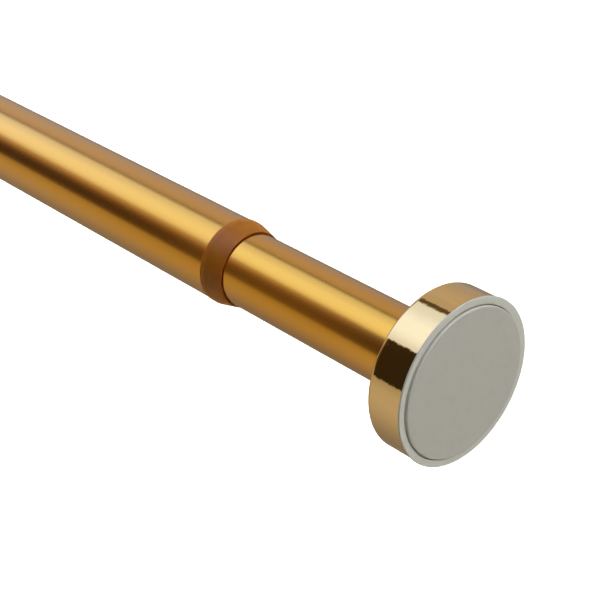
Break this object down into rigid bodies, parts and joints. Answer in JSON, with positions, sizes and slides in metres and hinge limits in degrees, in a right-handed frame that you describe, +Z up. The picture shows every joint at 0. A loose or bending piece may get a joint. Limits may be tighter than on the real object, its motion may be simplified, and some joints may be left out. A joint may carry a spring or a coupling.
{
  "type": "spring tension rod",
  "caption": "Telescopic curtain tension rod: two satin gold tubes with a plastic collar, a twist lock and spring inside, and round padded end caps that press on facing walls.",
  "frame": {"origin": "centre of the larger tube's rubber pad, on the face that meets the wall", "axes": "+X along the rod towards the smaller tube's cap, +Z up, +Y across"},
  "size_m": [0.6697, 0.0464, 0.0464],
  "materials": {
    "tube_anodised": "satin gold anodised",
    "cup_plated": "bright plated",
    "pad_rubber": "matte",
    "collar_plastic": "fine matte, slightly see-through",
    "plug_nylon": "moulded",
    "glide_nylon": "moulded",
    "spindle_nylon": "moulded",
    "spring_steel": "drawn wire",
    "zinc_steel": "zinc plated"
  },
  "bodies": {
    "outer": {"outer_tube": "tube_anodised", "collar": "collar_plastic", "outer_cap_shell": "cup_plated", "outer_cap_pad": "pad_rubber", "outer_cap_plug": "plug_nylon", "outer_cap_washer": "zinc_steel", "outer_cap_screw": "zinc_steel"},
    "glide": {"glide_ring": "glide_nylon"},
    "inner": {"inner_tube": "tube_anodised", "inner_cap_shell": "cup_plated", "inner_cap_pad": "pad_rubber", "inner_cap_plug": "plug_nylon", "inner_cap_washer": "zinc_steel", "inner_cap_screw": "zinc_steel", "guide_plug": "plug_nylon", "tension_spring": "spring_steel"},
    "spindle": {"lock_spindle": "spindle_nylon", "stop_washer": "zinc_steel", "stop_pin": "spring_steel", "cam_washer": "zinc_steel", "cam_screw": "zinc_steel"},
    "cam": {"lock_cam": "glide_nylon"}
  },
  "joints": [
    {"name": "length_adjust", "type": "slide", "parent": "outer", "child": "glide", "axis": [1, 0, 0], "range_m": [-0.0689, 0.231]},
    {"name": "twist_lock", "type": "hinge", "parent": "glide", "child": "inner", "pos_m": [0.2195, 0, 0], "axis": [1, 0, 0], "range_deg": [-25, 25]},
    {"name": "spring_travel", "type": "slide", "parent": "inner", "child": "spindle", "axis": [1, 0, 0], "range_m": [0, 0.028], "stiffness_N_per_m": 2645, "deforming": ["tension_spring"]},
    {"name": "cam_swing", "type": "hinge", "parent": "spindle", "child": "cam", "pos_m": [0.148, 0, 0.0012], "axis": [1, 0, 0], "range_deg": [-25, 25]}
  ],
  "couplings": [
    {"joint": "cam_swing", "follows": "twist_lock", "ratio": -1}
  ]
}
